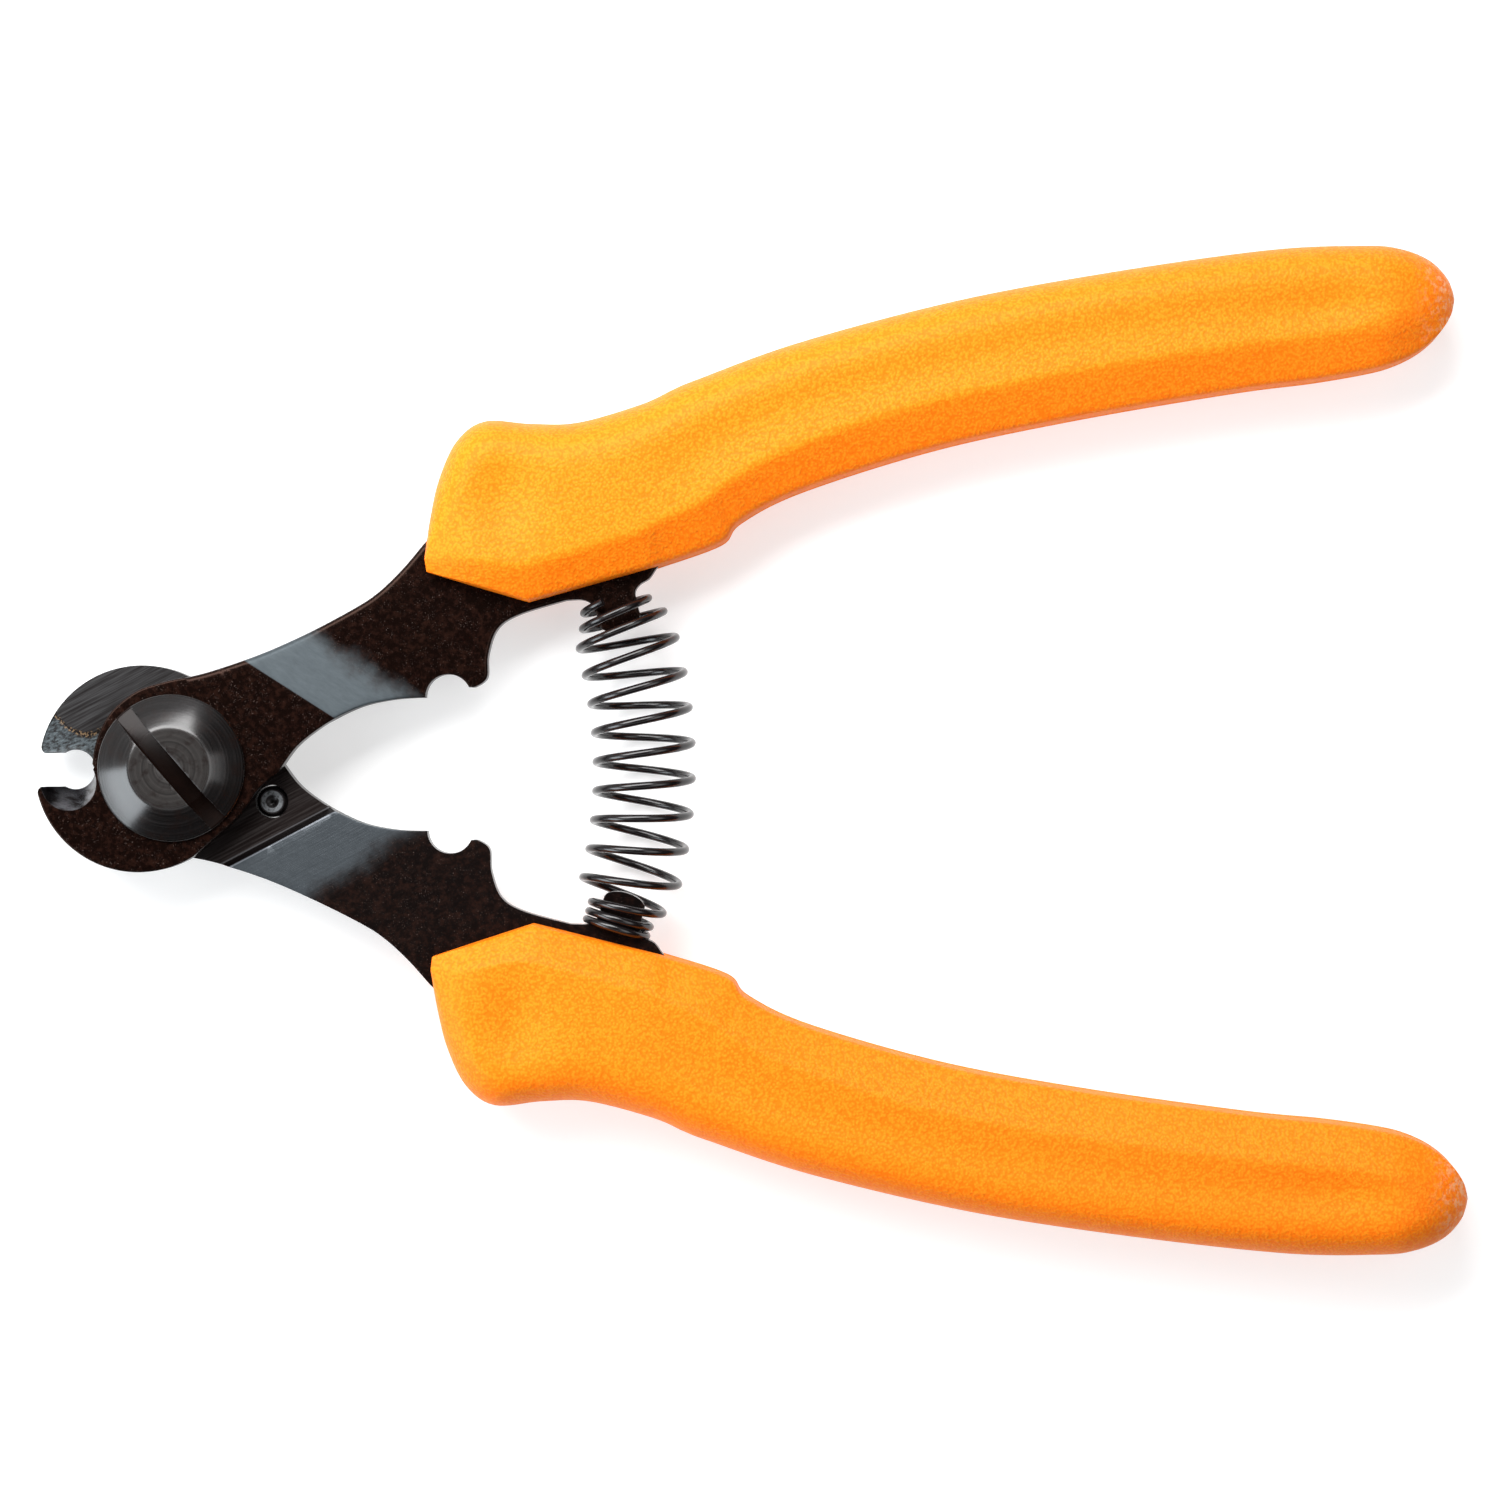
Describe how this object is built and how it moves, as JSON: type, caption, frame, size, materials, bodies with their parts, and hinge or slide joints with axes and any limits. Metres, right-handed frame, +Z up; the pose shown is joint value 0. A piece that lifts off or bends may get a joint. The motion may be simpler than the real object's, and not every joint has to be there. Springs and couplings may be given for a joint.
{
  "type": "cable shear cutter",
  "caption": "Hand cutter for cable and wire rope: crossed hooked steel levers on a slotted pivot bolt, barrel return spring, crimp notches and moulded grips.",
  "frame": {"origin": "on the pivot axis, at the flat end of the pivot bolt on the surface that the tool lies on", "axes": "+X along the tool from the jaws to the handles, +Y towards the front lever's handle, +Z up along the pivot axis towards the slotted bolt head"},
  "size_m": [0.1802, 0.128, 0.0141],
  "materials": {
    "lever_steel": "black-brown oxide, satin, lighter on the joggle",
    "grip_plastic": "fine leather grain, semi-matt",
    "bolt_steel": "turned, black oxide",
    "spring_steel": "drawn wire, oiled black"
  },
  "bodies": {
    "back_lever": {"back_blade_lever": "lever_steel", "back_grip": "grip_plastic", "pivot_bolt": "bolt_steel", "pivot_nut": "bolt_steel", "spring_washer": "bolt_steel", "set_screw": "bolt_steel", "return_spring": "spring_steel"},
    "front_lever": {"front_blade_lever": "lever_steel", "front_grip": "grip_plastic"}
  },
  "joints": [
    {"name": "handle_pivot", "type": "hinge", "parent": "back_lever", "child": "front_lever", "pos_m": [0, 0, 0.007], "axis": [0, 0, -1], "range_deg": [0, 28.3], "stiffness_Nm_per_rad": 1.9, "deforming": ["return_spring"]}
  ]
}
